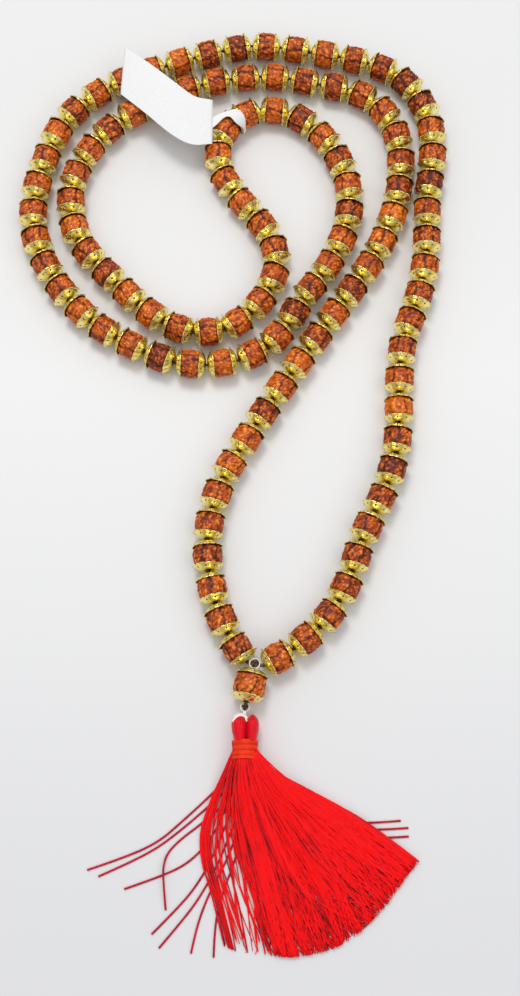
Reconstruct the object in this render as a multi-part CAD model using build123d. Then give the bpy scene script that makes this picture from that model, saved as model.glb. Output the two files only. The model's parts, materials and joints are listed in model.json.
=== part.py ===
"""A mala: rudraksha seeds between metal bead caps on a thread, a guru bead, a silk tassel and a paper tag.

The string lies flat on a table, wound into a loose double turn with its lower part open. X runs to the
right, Y away from the tassel and Z up. Every size is in millimetres. The layout is drawn about its own
zero, and the last step moves every piece so that the origin is the middle of the model's base.
"""
import math
import os

from build123d import *

# ------------------------------------------------------------------ driving sizes, in millimetres

# seeds
bead_diameter = 8.0
bead_length = 6.5
guru_diameter = 8.4
guru_length = 6.9
bead_shoulder = 0.3        # how much less the radius is at a bead's ends than at its middle
bead_edge = 2.2            # rounding of a bead's ends

# thread and its holes
thread_diameter = 0.8
bore_clearance = 0.35      # all round the thread, in beads and caps
thread_bend = 1.2          # length of straight thread that each bend between two beads takes

# bead caps
cap_wall = 0.2
cap_clearance = 0.1        # between a cap and its bead
cap_reach = 0.85           # how far a cap reaches over its bead
rim_thickness = 0.3
rim_inset = 0.05           # the rims stay this far inside the beads' own radius
cap_spacing = 1.25         # open thread between two facing caps, at the least

# how the strand is shared out
left_turning_beads = 10    # beads of the lower strands that lie free, counted from the guru bead
right_turning_beads = 14
first_turn_share = 0.33    # of the beads in the coil: first turn, inner turn, outer turn
inner_turn_share = 0.28

# knots, and the eyes that turn on them
knot_radius = 0.9
knot_height = 3.0
knot_rounding = 0.6        # of a knot's radius
stop_knot_radius = 0.7
stop_knot_height = 2.4
eye_wire = 0.2             # radius of the thread that an eye is made of
eye_clearance = 0.14       # between a knot and its eye
knot_gap = 0.3             # between a knot's eye and the next cap

# tassel
head_width = 6.8
head_length = 6.0
head_thickness = 6.4
head_rounding = 1.9
head_over_bar = 0.95       # how far the head reaches over the bar that it hangs on
head_cleft = 1.3           # width of the gap between the head's two lobes
tie_bar_length = 4.8
tie_bar_radius = 0.3
tie_bar_clearance = 0.15
tie_to_bar = 3.0           # from the stop knot to the bar
wrap_length = 4.9
wrap_wall = 0.4
neck_width = 5.8
neck_thickness = 4.6
skirt_radius = 48.3
skirt_middle = -70         # degrees from +X to the middle of the skirt's rounded hem
skirt_tip_height = 1.0     # thickness of the skirt where it runs out on the table
skirt_lies_from = 10.6     # how far from the neck's end the skirt's underside reaches the table
skirt_belly = (15.9, 2.5)  # a point of the skirt's upper side: distance from the neck's end, and height
loose_thread_diameter = 0.5

# paper tag
paper_thickness = 0.3
tag_length = 29.0
tag_width = 14.0           # along its slanting ends
tag_heading = 145          # degrees from +X to the tag's long sides
tag_arch = 1.3             # how far the tag's middle bows up
tag_above_band = 6.0       # how far the tag's near end reaches past the middle of its band
tag_crease_gap = 0.25      # the fold between the band and the tag
tag_band_width = 2.6
tag_loop_width = 0.8       # the band narrows where it goes round the thread
tag_loop_shift = 0.9       # the loop hangs towards the inside of the strand's bend
tag_band_length = 6.0      # from the middle of its loop to the fold
tag_band_heading = 205     # the band runs down to the middle of the tag
tag_loop_radius = 3.85     # inside
tag_seat_gap = 0.3         # between the tag and the beads below it

# ------------------------------------------------------------------ the strand's route on the table

route_bead_diameter = 8.0  # the size of bead that the route below is drawn for
spread = bead_diameter / route_bead_diameter

route = [
    (-3.2, -43.7), (-8.2, -36.2), (-12.2, -24.5), (-13.3, -11.5), (-10.6, 1.5), (-4.8, 12.5),
    (4, 26.7), (13.2, 40.7), (22.8, 54.6), (31, 67.2), (36.6, 81), (38.7, 94.5),
    (37.8, 104.5), (33.4, 113.2), (25.2, 118.2), (16.4, 120), (6, 122.2), (-4.6, 122.2),
    (-20.2, 118.6), (-31.5, 113), (-42, 105.8), (-49.8, 93.8), (-51.6, 83), (-48.4, 70.6),
    (-39.7, 60.6), (-28, 49), (-16.8, 44.2), (-6.8, 46.4), (1, 54.4), (4.8, 63.6),
    (3.2, 72.4), (-2, 79.8), (-7.2, 86), (-11, 92.6), (-11.9, 99.4), (-9.8, 105.8),
    (-4.9, 110.6), (2, 112.3), (9, 110.7), (15, 106.2), (19.8, 100.2), (23.2, 92.8),
    (24.6, 84.4), (23.4, 75.2), (18.2, 63.6), (11.2, 54.4), (4.6, 42.6), (-5.6, 36.6),
    (-19.2, 35.4), (-31.5, 39.6), (-46.4, 49.3), (-57.2, 63.8), (-61.6, 78.2), (-59.6, 93.6),
    (-54, 108.4), (-43.2, 118.6), (-28.7, 125), (-13.5, 130), (-0.5, 132.6), (14.2, 130.4),
    (28, 127.6), (38.8, 122.8), (46.2, 111.8), (47.6, 98.8), (45.4, 84), (44.8, 68.6),
    (42.2, 54.8), (37.6, 42.6), (36.2, 28.6), (35.4, 13.4), (32, 1.2), (26, -11.2),
    (21, -26), (12.2, -37.4), (0.8, -44.6),
]
knot_place = (-1.3, -44.1)
guru_lean = 77.5           # degrees from +X to the line from the guru bead up to the knot
tag_after_bead = 50        # the tag's loop sits between this bead and the next

# the skirt's two edges and its loose threads, from the middle of the neck's end
skirt_left_edge = [(-3.2, 0.6), (-7.6, -6.5), (-10.8, -17.5), (-9.8, -27), (-6, -43)]
skirt_right_edge = [(3.2, 0.6), (10.2, -5.6), (27.1, -16.2), (41.5, -24.8)]
loose_threads = [
    [(-4.5, -4), (-9.3, -8.9), (-15.4, -14.4), (-20.6, -18.9), (-28, -22.3), (-37.4, -25.4)],
    [(-5.5, -7.5), (-10.5, -12.1), (-15.9, -16.6), (-21, -20.4), (-27.6, -23.8), (-34.7, -26.9)],
    [(-5.5, -10.5), (-10.6, -14.8), (-15.4, -18.3), (-18.6, -21.6), (-19.4, -25, 0.8), (-19.2, -28.4, 0.8),
     (-18.6, -34.6)],
    [(-3, -6.5), (-5.2, -13), (-9, -19.4), (-13.4, -23.8), (-19.3, -26.7), (-28.5, -29.8)],
    [(-2.4, -9.5), (-5.4, -17), (-8.2, -23.6), (-11.4, -29), (-15.2, -33.6), (-21.8, -40.1)],
    [(-1.6, -12), (-4.6, -20), (-7.8, -26.8), (-11.2, -32.6), (-15, -37.4), (-20, -43.2)],
    [(-0.6, -13), (-3.6, -22), (-7.3, -28.6), (-9.8, -34.2), (-11.5, -39.6), (-12.5, -44.4)],
    [(0.4, -14), (-2.2, -23), (-5.2, -30.6), (-7, -37.2), (-7.2, -45.3)],
    [(3.5, -4.5), (11, -8.6), (18.5, -12.4), (25.5, -14.3), (31.6, -14.4), (37.4, -13.9)],
    [(4, -6.5), (12.5, -10.8), (20.6, -14.4), (28.4, -16.4), (39.2, -15.6)],
    [(5, -8.5), (14, -12.8), (23, -16.6), (31, -18.2), (39.2, -17.6)],
]

# ------------------------------------------------------------------ what follows from them

strand_height = bead_diameter / 2
guru_height = guru_diameter / 2
bead_bore = thread_diameter / 2 + bore_clearance
cap_height = cap_clearance + cap_wall
bead_pitch = bead_length + 2 * cap_height + cap_spacing

made = {}


def plane_at(x, y, z, heading):
    """A plane at a point whose Z axis lies level, pointing along a heading in degrees from +X."""
    turn = math.radians(heading)
    return Plane(origin=(x, y, z), x_dir=(0, 0, 1), z_dir=(math.cos(turn), math.sin(turn), 0))


def heading_of(start, end):
    return math.degrees(math.atan2(end[1] - start[1], end[0] - start[0]))


def smooth_path(points, steps=60):
    """Closely spaced points on the Catmull-Rom curve through the given ones."""
    first = tuple(2 * a - b for a, b in zip(points[0], points[1]))
    last = tuple(2 * a - b for a, b in zip(points[-1], points[-2]))
    chain = [first] + points + [last]
    path = []
    for a, b, c, d in zip(chain, chain[1:], chain[2:], chain[3:]):
        for step in range(steps):
            t = step / steps
            path.append(tuple(
                0.5 * (2 * q + (r - p) * t + (2 * p - 5 * q + 4 * r - s) * t ** 2
                       + (3 * q - p - 3 * r + s) * t ** 3)
                for p, q, r, s in zip(a, b, c, d)
            ))
    return path + [points[-1]]


def evenly(path, count):
    """The points that part a path into count equal lengths, and the path's whole length."""
    reached = [0.0]
    for start, end in zip(path, path[1:]):
        reached.append(reached[-1] + math.dist(start, end))
    places, i = [], 0
    for n in range(count + 1):
        want = reached[-1] * n / count
        while i < len(path) - 2 and reached[i + 1] < want:
            i += 1
        part = (want - reached[i]) / (reached[i + 1] - reached[i])
        places.append(tuple(a + (b - a) * part for a, b in zip(path[i], path[i + 1])))
    return places, reached[-1]


# ------------------------------------------------------------------ seeds and caps, about their own Z axis


def seed_section(diameter, length, edge):
    """Half of a seed's lengthwise section, with X as radius and Y as height: a barrel with rounded ends."""
    middle = diameter / 2
    end = middle - bead_shoulder
    side = ThreePointArc((end, -length / 2), (middle, 0), (end, length / 2))
    closing = Polyline((end, length / 2), (0, length / 2), (0, -length / 2), (end, -length / 2))
    section = make_face([side] + closing.edges())
    corners = section.vertices().filter_by(lambda v: v.X > end / 2)
    return fillet(corners, edge)


def band_section(radius, low, high):
    """A plain rectangle of section, from the axis out to a radius, between two heights."""
    return Pos(radius / 2, (low + high) / 2) * Rectangle(radius, high - low)


def seed(diameter, length):
    """A seed with its drilled hole."""
    section = seed_section(diameter, length, bead_edge) - band_section(bead_bore, -length, length)
    return revolve(Plane.XZ * section, Axis.Z).solids()[0]


def bead_cap(diameter, length):
    """A cap over a bead's upper end: a thin dome that follows the seed, with a flat brim."""
    rim = length / 2 - cap_reach
    radius = diameter / 2 - rim_inset
    dome = seed_section(diameter + 2 * cap_height, length + 2 * cap_height, bead_edge + cap_height)
    hollow = seed_section(diameter + 2 * cap_clearance, length + 2 * cap_clearance, bead_edge + cap_clearance)
    above = band_section(radius, rim, 2 * length)
    section = (dome & above) + band_section(radius, rim, rim + rim_thickness)
    section = section - hollow - band_section(bead_bore, 0, 2 * length)
    return revolve(Plane.XZ * section, Axis.Z).solids()[0]


flipped = Rot(180, 0, 0)
plain_seed = seed(bead_diameter, bead_length)
plain_cap = bead_cap(bead_diameter, bead_length)

# ------------------------------------------------------------------ the strand

route_here = [(x * spread, y * spread) for x, y in route]
knot = (knot_place[0] * spread, knot_place[1] * spread)
path = smooth_path(route_here)
bead_count = int(evenly(path, 1)[1] / bead_pitch)
gaps, strand_length = evenly(path, bead_count)
print(f"strand {strand_length:.1f} mm, {bead_count} beads")

beads, lower_caps, upper_caps = [], [], []
for start, end in zip(gaps, gaps[1:]):
    x, y = (start[0] + end[0]) / 2, (start[1] + end[1]) / 2
    frame = plane_at(x, y, strand_height, heading_of(start, end))
    beads.append(frame * plain_seed)
    upper_caps.append(frame * plain_cap)
    lower_caps.append(frame * flipped * plain_cap)

coil_start = round(left_turning_beads)
coil_end = bead_count - round(right_turning_beads)
coil_beads = coil_end - coil_start
first_end = coil_start + round(coil_beads * first_turn_share)
inner_end = first_end + round(coil_beads * inner_turn_share)

for n in range(coil_start):
    made[f"left_bead_{n + 1:02d}"] = beads[n]
for n in range(bead_count - coil_end):
    made[f"right_bead_{n + 1:02d}"] = beads[bead_count - 1 - n]
turns = {
    "first_turn": range(coil_start, first_end),
    "inner_turn": range(first_end, inner_end),
    "outer_turn": range(inner_end, coil_end),
}
for name, members in turns.items():
    made[name + "_beads"] = Compound([beads[n] for n in members])
    made[name + "_caps"] = Compound([cap for n in members for cap in (lower_caps[n], upper_caps[n])])
for name, members in {"left": range(coil_start), "right": range(coil_end, bead_count)}.items():
    made[name + "_strand_caps"] = Compound([cap for n in members for cap in (lower_caps[n], upper_caps[n])])

# ------------------------------------------------------------------ thread


def bent_tube(points, diameter, bend=None):
    """A round tube along straight runs, joined by arcs that touch them.

    Each arc takes the bend length from the runs beside it, or 0.45 of the shorter run if none is given.
    """
    kept = [points[0]]
    for here, after in zip(points[1:], points[2:]):
        turn = (Vector(*here) - Vector(*kept[-1])).get_angle(Vector(*after) - Vector(*here))
        if turn > 0.5:
            kept.append(here)
    kept.append(points[-1])
    radii = []
    for before, here, after in zip(kept, kept[1:], kept[2:]):
        back, ahead = Vector(*here) - Vector(*before), Vector(*after) - Vector(*here)
        most = 0.45 * min(back.length, ahead.length)
        used = most if bend is None else min(bend, most)
        radii.append(used / math.tan(math.radians(back.get_angle(ahead)) / 2))
    line = FilletPolyline(*kept, radius=radii) if radii else Line(*kept)
    start = Plane(origin=line @ 0, z_dir=line % 0)
    tube = sweep(start * Circle(diameter / 2), path=line)
    expected = math.pi * diameter ** 2 / 4 * line.length
    print(f"tube {line.length:.1f} mm, volume {tube.volume / expected:.4f}, radii",
          [round(radius, 1) for radius in sorted(radii)[:6]])
    return tube.solids()[0]


def at_height(points, z):
    return [(x, y, z) for x, y in points]


thread_ends = [(knot[0] - knot_radius / 3, knot[1]), (knot[0] + knot_radius / 3, knot[1])]
made["strand_thread"] = bent_tube(
    at_height([thread_ends[0]] + gaps + [thread_ends[1]], strand_height), thread_diameter, thread_bend
)
made["joining_knot"] = Pos(*knot, strand_height) * fillet(
    Cylinder(knot_radius, knot_height).edges(), knot_rounding * knot_radius
)

# ------------------------------------------------------------------ guru bead, hung on the knot by an eye

eye_radius = knot_radius + eye_clearance + eye_wire
eye_height = strand_height + thread_diameter / 2 + eye_wire + eye_clearance
guru_tip = guru_length / 2 + cap_height
to_guru = eye_radius + eye_wire + knot_gap + guru_tip
lean = math.radians(guru_lean)
toward_tassel = (-math.cos(lean), -math.sin(lean))


def down_line(distance):
    """A point on the line from the knot through the guru bead."""
    return knot[0] + toward_tassel[0] * distance, knot[1] + toward_tassel[1] * distance


guru_frame = plane_at(*down_line(to_guru), guru_height, guru_lean)
guru_cap = bead_cap(guru_diameter, guru_length)
made["guru_bead"] = guru_frame * seed(guru_diameter, guru_length)
made["guru_upper_cap"] = guru_frame * guru_cap
made["guru_lower_cap"] = guru_frame * flipped * guru_cap

stop_eye_radius = stop_knot_radius + eye_clearance + eye_wire
to_stop = to_guru + guru_tip + knot_gap + stop_eye_radius + eye_wire
guru_thread = bent_tube(
    [(*down_line(eye_radius), eye_height), (*down_line(to_guru - guru_tip), guru_height),
     (*down_line(to_stop), guru_height)],
    thread_diameter,
)
eye = Pos(*knot, eye_height) * Torus(eye_radius, eye_wire)
free_of_knot = Pos(*knot, eye_height) * Cylinder(eye_radius - eye_wire, 4 * thread_diameter)
made["guru_thread"] = (guru_thread - free_of_knot + eye).solids()[0]
stop = down_line(to_stop)
made["stop_knot"] = Pos(*stop, guru_height - stop_knot_height / 4) * fillet(
    Cylinder(stop_knot_radius, stop_knot_height).edges(), knot_rounding * stop_knot_radius
)

# ------------------------------------------------------------------ tassel, straight down from the stop knot

bar = (stop[0], stop[1] - tie_to_bar)
bar_height = head_thickness / 2
stop_eye_height = guru_height - thread_diameter / 2 - eye_wire - eye_clearance
stem_start = (stop[0], stop[1] - stop_eye_radius, stop_eye_height)
tie_stem = bent_tube([stem_start, (*bar, bar_height)], 2 * eye_wire)
tie_bar = Pos(*bar, bar_height) * Rot(0, 90, 0) * Cylinder(tie_bar_radius, tie_bar_length)
tie_eye = Pos(*stop, stop_eye_height) * Torus(stop_eye_radius, eye_wire)
made["tassel_tie"] = (tie_eye + tie_stem + tie_bar).solids()[0]

head_middle = bar[1] + head_over_bar - head_length / 2
bar_space = tie_bar_radius + tie_bar_clearance
head = Pos(bar[0], head_middle, head_thickness / 2) * fillet(
    Box(head_width, head_length, head_thickness).edges(), head_rounding
)
bore = Pos(*bar, bar_height) * Rot(0, 90, 0) * Cylinder(bar_space, tie_bar_length + 2 * tie_bar_clearance)
cleft_depth = head_over_bar + bar_space
cleft = Pos(bar[0], bar[1] + head_over_bar - cleft_depth / 2, head_thickness / 2) * Box(
    head_cleft, cleft_depth, 2 * head_thickness
)
made["tassel_head"] = (head - bore - cleft).solids()[0]

neck_top = head_middle - head_length / 2
neck_end = (bar[0], neck_top - wrap_length)


def neck_piece(width, thickness, length):
    """An oval post from the head's underside towards the skirt."""
    oval = Plane(origin=(bar[0], neck_top, head_thickness / 2), x_dir=(1, 0, 0), z_dir=(0, -1, 0))
    return extrude(oval * Ellipse(width / 2, thickness / 2), length)


wrap_blank = neck_piece(neck_width + 2 * wrap_wall, neck_thickness + 2 * wrap_wall, wrap_length)
made["neck_wrap"] = wrap_blank - neck_piece(neck_width, neck_thickness, wrap_length)

# ------------------------------------------------------------------ skirt and loose threads

left_tip, right_tip = skirt_left_edge[-1], skirt_right_edge[-1]
middle_angle = math.radians(skirt_middle)
arc_middle = (skirt_radius * math.cos(middle_angle), skirt_radius * math.sin(middle_angle))
outline = make_face([
    Spline(*skirt_left_edge), ThreePointArc(left_tip, arc_middle, right_tip),
    Spline(*skirt_right_edge), Line(skirt_right_edge[0], skirt_left_edge[0]),
])
neck_low = head_thickness / 2 - neck_thickness / 2
neck_high = head_thickness / 2 + neck_thickness / 2
reach = skirt_radius + head_width
fall = make_face([
    Line((0, neck_low), (0, neck_high)),
    Spline((0, neck_high), skirt_belly, (reach, skirt_tip_height)),
    Line((reach, skirt_tip_height), (reach, 0)), Line((reach, 0), (skirt_lies_from, 0)),
    Line((skirt_lies_from, 0), (0, neck_low)),
])
fan = extrude(Pos(*neck_end) * outline, 2 * head_thickness) & (
    Pos(*neck_end) * revolve(Plane.XZ * fall, Axis.Z)
)
made["tassel_skirt"] = (fan + neck_piece(neck_width, neck_thickness, wrap_length + 1)).solids()[0]

thread_radius = loose_thread_diameter / 2
made["loose_threads"] = Compound([
    bent_tube(
        [(neck_end[0] + x, neck_end[1] + y, thread_radius + sum(raised)) for x, y, *raised in points],
        loose_thread_diameter,
    )
    for points in loose_threads
])

# ------------------------------------------------------------------ paper tag and its band

loop_gap = round(tag_after_bead)
loop_at = gaps[loop_gap]
along = heading_of(gaps[loop_gap - 1], gaps[loop_gap + 1])
paper_rest = bead_diameter + tag_seat_gap
band_turn = math.radians(tag_band_heading)
crease = (
    loop_at[0] + tag_band_length * math.cos(band_turn), loop_at[1] + tag_band_length * math.sin(band_turn)
)
inwards = math.radians(along - 90)
loop_middle = (
    loop_at[0] + tag_loop_shift * math.cos(inwards), loop_at[1] + tag_loop_shift * math.sin(inwards)
)
loop = plane_at(*loop_middle, paper_rest - tag_loop_radius, along) * (
    Cylinder(tag_loop_radius + paper_thickness, tag_loop_width)
    - Cylinder(tag_loop_radius, 2 * tag_loop_width)
)
strap_length = tag_band_length + tag_band_width + tag_loop_shift
strap = Pos(*loop_middle, paper_rest + paper_thickness / 2) * Rot(0, 0, tag_band_heading) * (
    Pos(strap_length / 2, 0, 0) * Box(strap_length, tag_band_width, paper_thickness)
)
past_the_fold = Pos(crease[0] - tag_length / 2, crease[1], paper_rest) * Box(
    tag_length, tag_length, tag_length
)
made["tag_band"] = (loop + (strap - past_the_fold)).solids()[0]

tag_turn = math.radians(tag_heading)
tag_side = Plane(
    origin=(*crease, 0),
    x_dir=(math.cos(tag_turn), math.sin(tag_turn), 0),
    z_dir=(math.sin(tag_turn), -math.cos(tag_turn), 0),
)
under = ThreePointArc(
    (tag_crease_gap, paper_rest), (tag_length / 2, paper_rest + tag_arch), (tag_length, paper_rest)
)
over = under.moved(Location((0, paper_thickness, 0)))
strip = make_face([under, over, Line(under @ 0, over @ 0), Line(under @ 1, over @ 1)])
made["paper_tag"] = Pos(0, tag_above_band, 0) * extrude(tag_side * strip, amount=tag_width, dir=(0, -1, 0))

# ------------------------------------------------------------------ write the pieces

everything = Compound([Compound(shape.solids()) for shape in made.values()]).bounding_box()
shift = Pos(
    -(everything.min.X + everything.max.X) / 2, -(everything.min.Y + everything.max.Y) / 2, -everything.min.Z
)
print(f"size {everything.size.X:.1f} x {everything.size.Y:.1f} x {everything.size.Z:.1f} mm")
print(f"drawing's zero is at {shift.position.X:.3f}, {shift.position.Y:.3f} mm")
os.makedirs("parts", exist_ok=True)
for name, shape in made.items():
    export_step(shift * shape, f"parts/{name}.step")
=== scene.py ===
# %% [markdown]
# # A string of prayer beads, dressed in Blender
#
# The string is a hundred and ten wrinkled seeds between gilt caps, with a larger bead where its two
# ends meet, a red silk tassel and a blank paper tag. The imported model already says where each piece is
# and what turns, so this script only gives every piece its looks. Loading the model as a fixed frame
# comes first, because each new piece rides on one of its bodies.

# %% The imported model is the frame
import json
import math

import bpy
import numpy as np
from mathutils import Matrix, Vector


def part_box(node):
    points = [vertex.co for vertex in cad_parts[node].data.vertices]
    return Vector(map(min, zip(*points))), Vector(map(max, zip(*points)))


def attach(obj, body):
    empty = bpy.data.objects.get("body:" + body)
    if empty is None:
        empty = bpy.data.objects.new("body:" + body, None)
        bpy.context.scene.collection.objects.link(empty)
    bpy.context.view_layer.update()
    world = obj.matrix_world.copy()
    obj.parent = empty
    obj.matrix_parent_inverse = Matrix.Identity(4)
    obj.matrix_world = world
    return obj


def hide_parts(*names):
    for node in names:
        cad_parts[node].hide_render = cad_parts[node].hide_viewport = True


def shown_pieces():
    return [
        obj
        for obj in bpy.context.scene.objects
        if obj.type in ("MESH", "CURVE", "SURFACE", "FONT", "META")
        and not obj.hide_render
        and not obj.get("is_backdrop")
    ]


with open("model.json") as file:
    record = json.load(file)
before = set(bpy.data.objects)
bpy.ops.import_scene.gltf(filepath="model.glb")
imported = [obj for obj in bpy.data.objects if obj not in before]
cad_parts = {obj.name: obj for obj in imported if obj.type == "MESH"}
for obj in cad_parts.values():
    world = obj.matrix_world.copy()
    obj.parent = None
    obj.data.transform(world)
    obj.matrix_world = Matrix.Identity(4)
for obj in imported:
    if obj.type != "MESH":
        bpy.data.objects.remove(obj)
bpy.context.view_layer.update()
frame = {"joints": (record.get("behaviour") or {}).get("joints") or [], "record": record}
MM = 0.001
TURN = 2 * math.pi

# %% [markdown]
# ## One curve through the whole strand
#
# Every bead sits on one route, a list of given points. A Catmull-Rom curve passes through
# its points, so the beads follow them exactly. The curve is parted into equal lengths, one for each
# bead, in the same way as in the model's own source. Comparing one bead's place with the frame gives
# the shift from the drawing's zero to the frame's.

# %% The strand's route, in millimetres about the drawing's own zero
ROUTE = [
    (-3.2, -43.7), (-8.2, -36.2), (-12.2, -24.5), (-13.3, -11.5), (-10.6, 1.5), (-4.8, 12.5),
    (4, 26.7), (13.2, 40.7), (22.8, 54.6), (31, 67.2), (36.6, 81), (38.7, 94.5),
    (37.8, 104.5), (33.4, 113.2), (25.2, 118.2), (16.4, 120), (6, 122.2), (-4.6, 122.2),
    (-20.2, 118.6), (-31.5, 113), (-42, 105.8), (-49.8, 93.8), (-51.6, 83), (-48.4, 70.6),
    (-39.7, 60.6), (-28, 49), (-16.8, 44.2), (-6.8, 46.4), (1, 54.4), (4.8, 63.6),
    (3.2, 72.4), (-2, 79.8), (-7.2, 86), (-11, 92.6), (-11.9, 99.4), (-9.8, 105.8),
    (-4.9, 110.6), (2, 112.3), (9, 110.7), (15, 106.2), (19.8, 100.2), (23.2, 92.8),
    (24.6, 84.4), (23.4, 75.2), (18.2, 63.6), (11.2, 54.4), (4.6, 42.6), (-5.6, 36.6),
    (-19.2, 35.4), (-31.5, 39.6), (-46.4, 49.3), (-57.2, 63.8), (-61.6, 78.2), (-59.6, 93.6),
    (-54, 108.4), (-43.2, 118.6), (-28.7, 125), (-13.5, 130), (-0.5, 132.6), (14.2, 130.4),
    (28, 127.6), (38.8, 122.8), (46.2, 111.8), (47.6, 98.8), (45.4, 84), (44.8, 68.6),
    (42.2, 54.8), (37.6, 42.6), (36.2, 28.6), (35.4, 13.4), (32, 1.2), (26, -11.2),
    (21, -26), (12.2, -37.4), (0.8, -44.6),
]
STRAND_HEIGHT = 4.0
BODIES = frame["record"]["behaviour"]["bodies"]
LEFT_BEADS = sorted(name for name in BODIES if name.startswith("left_bead"))
RIGHT_BEADS = sorted(name for name in BODIES if name.startswith("right_bead"))
BEAD_COUNT = 110


def smooth_line(points, steps=60):
    """A Catmull-Rom curve: between b and c it is half of
    2b + (c - a)t + (2a - 5b + 4c - d)t^2 + (3b - a - 3c + d)t^3, with mirrored points past the ends."""
    p = np.asarray(points, float)
    p = np.vstack([2 * p[0] - p[1], p, 2 * p[-1] - p[-2]])
    t = np.linspace(0, 1, steps, endpoint=False)[:, None]
    a, b, c, d = (p[i:len(p) - 3 + i, None] for i in range(4))
    spans = 0.5 * (2 * b + (c - a) * t + (2 * a - 5 * b + 4 * c - d) * t**2 + (3 * b - a - 3 * c + d) * t**3)
    return np.vstack([spans.reshape(-1, p.shape[1]), p[-2]])


def spaced(line, count):
    """The points that part a line into count equal lengths."""
    reached = np.concatenate([[0], np.cumsum(np.linalg.norm(np.diff(line, axis=0), axis=1))])
    want = np.linspace(0, reached[-1], count + 1)
    return np.column_stack([np.interp(want, reached, column) for column in line.T])


gaps = spaced(smooth_line(ROUTE), BEAD_COUNT)
bead_middles = (gaps[:-1] + gaps[1:]) / 2
bead_axes = np.diff(gaps, axis=0)
bead_axes = bead_axes / np.linalg.norm(bead_axes, axis=1)[:, None]
first_low, first_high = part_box(LEFT_BEADS[0])
shift = np.array([(first_low[k] + first_high[k]) / 2 / MM for k in range(2)]) - bead_middles[0]
SHIFT = np.array([shift[0], shift[1], 0.0])
print("the drawing's zero is at", np.round(shift, 3), "mm in the frame")

# %% [markdown]
# ## The camera
#
# The string is seen from steeply above, from the tassel's side, with its far end upwards. A long lens
# keeps the two ends of the strand at nearly the same scale.

# %% The camera
CAMERA_DISTANCE = 385.1
CAMERA_ELEVATION = math.radians(72)
LENS = 54.2

camera_data = bpy.data.cameras.new("camera")
camera_data.lens = LENS
camera_data.sensor_width = 36
camera = bpy.data.objects.new("camera", camera_data)
bpy.context.scene.collection.objects.link(camera)
camera.location = (
    SHIFT[0] * MM,
    (SHIFT[1] - CAMERA_DISTANCE * math.cos(CAMERA_ELEVATION)) * MM,
    CAMERA_DISTANCE * math.sin(CAMERA_ELEVATION) * MM,
)
camera.rotation_euler = (math.pi / 2 - CAMERA_ELEVATION, 0, 0)
bpy.context.scene.camera = camera
print("camera at", np.round(camera.location, 4))

# %% [markdown]
# ## Helpers for surfaces
#
# Each surface is a grid of points: rows along a profile or a path, columns round it. The columns
# always close on themselves, and so do the rows of a bead, whose profile runs over the outside and
# back through its hole. One function joins neighbouring points with four-sided faces. It turns the
# faces outwards by the sign of the volume that they enclose.

# %% Grids to meshes


def grid_faces(copies, rows, columns, close_rows):
    """Each face joins point (row, column) to its neighbours in the next row and the next column."""
    row = np.arange(rows if close_rows else rows - 1)[:, None]
    column = np.arange(columns)[None, :]
    here, beside = row * columns, (row + 1) % rows * columns
    after = (column + 1) % columns
    one = np.stack([here + column, here + after, beside + after, beside + column], axis=-1).reshape(-1, 4)
    return (one[None] + (np.arange(copies) * rows * columns)[:, None, None]).reshape(-1, 4)


def end_faces(copies, rows, columns):
    """Flat ends for tubes: the first and the last ring of each copy, as one face each."""
    first = np.arange(columns)[::-1]
    last = (rows - 1) * columns + np.arange(columns)
    both = np.stack([first, last])
    return (both[None] + (np.arange(copies) * rows * columns)[:, None, None]).reshape(-1, columns)


def enclosed(points, faces):
    """Six times the volume inside the faces, from the triangles between the zero and each face's corners."""
    corner = points[faces]
    total = 0.0
    for k in range(1, faces.shape[1] - 1):
        total += np.einsum("ij,ij->", corner[:, 0], np.cross(corner[:, k], corner[:, k + 1]))
    return total


def surface(name, points, close_rows=True, values=None, vectors=None):
    """A mesh object from points of shape (copies, rows, columns, 3) in millimetres in the drawing. Rows that
    don't close on themselves are capped with flat ends."""
    copies, rows, columns, _ = points.shape
    flat = points.reshape(-1, 3)
    quads = grid_faces(copies, rows, columns, close_rows)
    groups = [quads]
    if not close_rows:
        groups.append(end_faces(copies, rows, columns))
    middle = flat.mean(axis=0)
    if enclosed(flat - middle, quads) < 0:
        groups = [group[:, ::-1] for group in groups]
    corners = np.concatenate([group.ravel() for group in groups])
    sizes = np.concatenate([np.full(len(group), group.shape[1]) for group in groups])
    mesh = bpy.data.meshes.new(name)
    mesh.vertices.add(len(flat))
    mesh.vertices.foreach_set("co", ((flat + SHIFT) * MM).astype(np.float32).ravel())
    mesh.loops.add(len(corners))
    mesh.loops.foreach_set("vertex_index", corners.astype(np.int32))
    mesh.polygons.add(len(sizes))
    mesh.polygons.foreach_set("loop_start", np.concatenate([[0], np.cumsum(sizes)[:-1]]).astype(np.int32))
    mesh.polygons.foreach_set("use_smooth", np.ones(len(sizes), bool))
    mesh.update(calc_edges=True)
    for key, value in (values or {}).items():
        mesh.attributes.new(key, "FLOAT", "POINT").data.foreach_set(
            "value", np.broadcast_to(value, points.shape[:3]).astype(np.float32).ravel()
        )
    for key, value in (vectors or {}).items():
        mesh.attributes.new(key, "FLOAT_VECTOR", "POINT").data.foreach_set(
            "vector", value.astype(np.float32).ravel()
        )
    mesh.validate()
    piece = bpy.data.objects.new(name, mesh)
    bpy.context.scene.collection.objects.link(piece)
    return piece


def dress(piece, material, body, slot, *nodes):
    """Gives a piece its material and the body that it rides on, and hides the nodes that it stands for. The
    slot is not used.
    """
    if material.name not in [m.name for m in piece.data.materials if m]:
        piece.data.materials.append(material)
    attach(piece, body)
    if nodes:
        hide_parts(*nodes)
    return piece


def smoothstep(x):
    """Rises from 0 to 1 as x does, level at both ends: 3x^2 - 2x^3."""
    x = np.clip(x, 0, 1)
    return x * x * (3 - 2 * x)


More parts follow.
